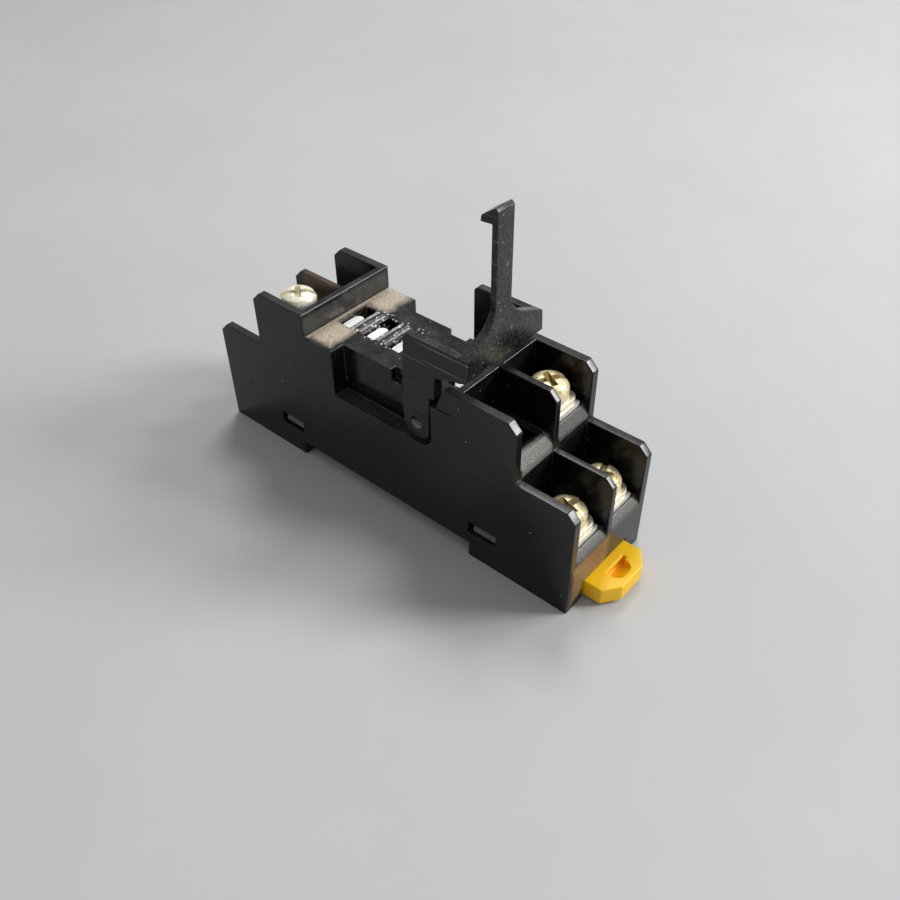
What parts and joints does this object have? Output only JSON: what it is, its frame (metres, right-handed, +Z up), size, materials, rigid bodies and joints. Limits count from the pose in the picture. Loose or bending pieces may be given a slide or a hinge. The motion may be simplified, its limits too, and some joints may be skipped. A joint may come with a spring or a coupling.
{
  "type": "relay socket",
  "caption": "Narrow rail-mounted socket for a slim plug-in relay, with stepped screw terminals, a hook lever that holds the relay and a pull latch for the rail.",
  "frame": {"origin": "middle of the flat face that sits on the rail, between the feet", "axes": "+X along the body towards the pull latch, +Y across it, +Z up out of the relay seat"},
  "size_m": [0.0757, 0.0188, 0.0525],
  "materials": {
    "housing": "near-black moulded plastic, satin gloss, dusty on its upper edges",
    "base_cover": "black moulded plastic, matt",
    "lever": "black moulded plastic, satin",
    "latch": "amber yellow moulded plastic",
    "strip": "plated steel strip",
    "clip": "tin-plated spring bronze",
    "washer": "steel with a pale gold plating",
    "screw": "steel with a pale gold plating",
    "spring": "bright spring strip"
  },
  "bodies": {
    "base": {"housing": "housing", "base_cover": "base_cover", "terminal_coil_far": "strip", "terminal_coil_near": "strip", "terminal_contact_a": "strip", "terminal_contact_b": "strip", "terminal_contact_c": "strip", "clip_coil_far": "clip", "clip_coil_near": "clip", "clip_contact_a": "clip", "clip_contact_b": "clip", "clip_contact_c": "clip", "latch_spring": "spring"},
    "lever": {"release_lever": "lever"},
    "latch": {"rail_latch": "latch"},
    "washer_coil_far": {"washer_coil_far": "washer"},
    "screw_coil_far": {"screw_coil_far": "screw"},
    "washer_coil_near": {"washer_coil_near": "washer"},
    "screw_coil_near": {"screw_coil_near": "screw"},
    "washer_contact_a": {"washer_contact_a": "washer"},
    "screw_contact_a": {"screw_contact_a": "screw"},
    "washer_contact_b": {"washer_contact_b": "washer"},
    "screw_contact_b": {"screw_contact_b": "screw"},
    "washer_contact_c": {"washer_contact_c": "washer"},
    "screw_contact_c": {"screw_contact_c": "screw"}
  },
  "joints": [
    {"name": "lever_pivot", "type": "hinge", "parent": "base", "child": "lever", "pos_m": [0.008, 0, 0.0178], "axis": [0, 1, 0], "range_deg": [-80, 6]},
    {"name": "latch_slide", "type": "slide", "parent": "base", "child": "latch", "axis": [1, 0, 0], "range_m": [0, 0.002], "stiffness_N_per_m": 200, "springref_m": -0.004, "deforming": ["latch_spring"]},
    {"name": "washer_lift_coil_far", "type": "slide", "parent": "base", "child": "washer_coil_far", "axis": [0, 0, 1], "range_m": [0, 0.0025]},
    {"name": "screw_turn_coil_far", "type": "hinge", "parent": "washer_coil_far", "child": "screw_coil_far", "pos_m": [0.02085, 0.00425, 0.02125], "axis": [0, 0, 1], "range_deg": [0, 1802]},
    {"name": "washer_lift_coil_near", "type": "slide", "parent": "base", "child": "washer_coil_near", "axis": [0, 0, 1], "range_m": [0, 0.0025]},
    {"name": "screw_turn_coil_near", "type": "hinge", "parent": "washer_coil_near", "child": "screw_coil_near", "pos_m": [0.03085, -0.00425, 0.0095], "axis": [0, 0, 1], "range_deg": [0, 1802]},
    {"name": "washer_lift_contact_a", "type": "slide", "parent": "base", "child": "washer_contact_a", "axis": [0, 0, 1], "range_m": [0, 0.0009]},
    {"name": "screw_turn_contact_a", "type": "hinge", "parent": "washer_contact_a", "child": "screw_contact_a", "pos_m": [-0.02085, -0.00425, 0.02125], "axis": [0, 0, 1], "range_deg": [0, 650]},
    {"name": "washer_lift_contact_b", "type": "slide", "parent": "base", "child": "washer_contact_b", "axis": [0, 0, 1], "range_m": [0, 0.0025]},
    {"name": "screw_turn_contact_b", "type": "hinge", "parent": "washer_contact_b", "child": "screw_contact_b", "pos_m": [-0.03085, -0.00425, 0.0095], "axis": [0, 0, 1], "range_deg": [0, 1802]},
    {"name": "washer_lift_contact_c", "type": "slide", "parent": "base", "child": "washer_contact_c", "axis": [0, 0, 1], "range_m": [0, 0.0025]},
    {"name": "screw_turn_contact_c", "type": "hinge", "parent": "washer_contact_c", "child": "screw_contact_c", "pos_m": [0.03085, 0.00425, 0.0095], "axis": [0, 0, 1], "range_deg": [0, 1802]}
  ],
  "couplings": [
    {"joint": "screw_turn_coil_far", "follows": "washer_lift_coil_far", "rad_per_m": 12566},
    {"joint": "screw_turn_coil_near", "follows": "washer_lift_coil_near", "rad_per_m": 12566},
    {"joint": "screw_turn_contact_a", "follows": "washer_lift_contact_a", "rad_per_m": 12566},
    {"joint": "screw_turn_contact_b", "follows": "washer_lift_contact_b", "rad_per_m": 12566},
    {"joint": "screw_turn_contact_c", "follows": "washer_lift_contact_c", "rad_per_m": 12566}
  ]
}
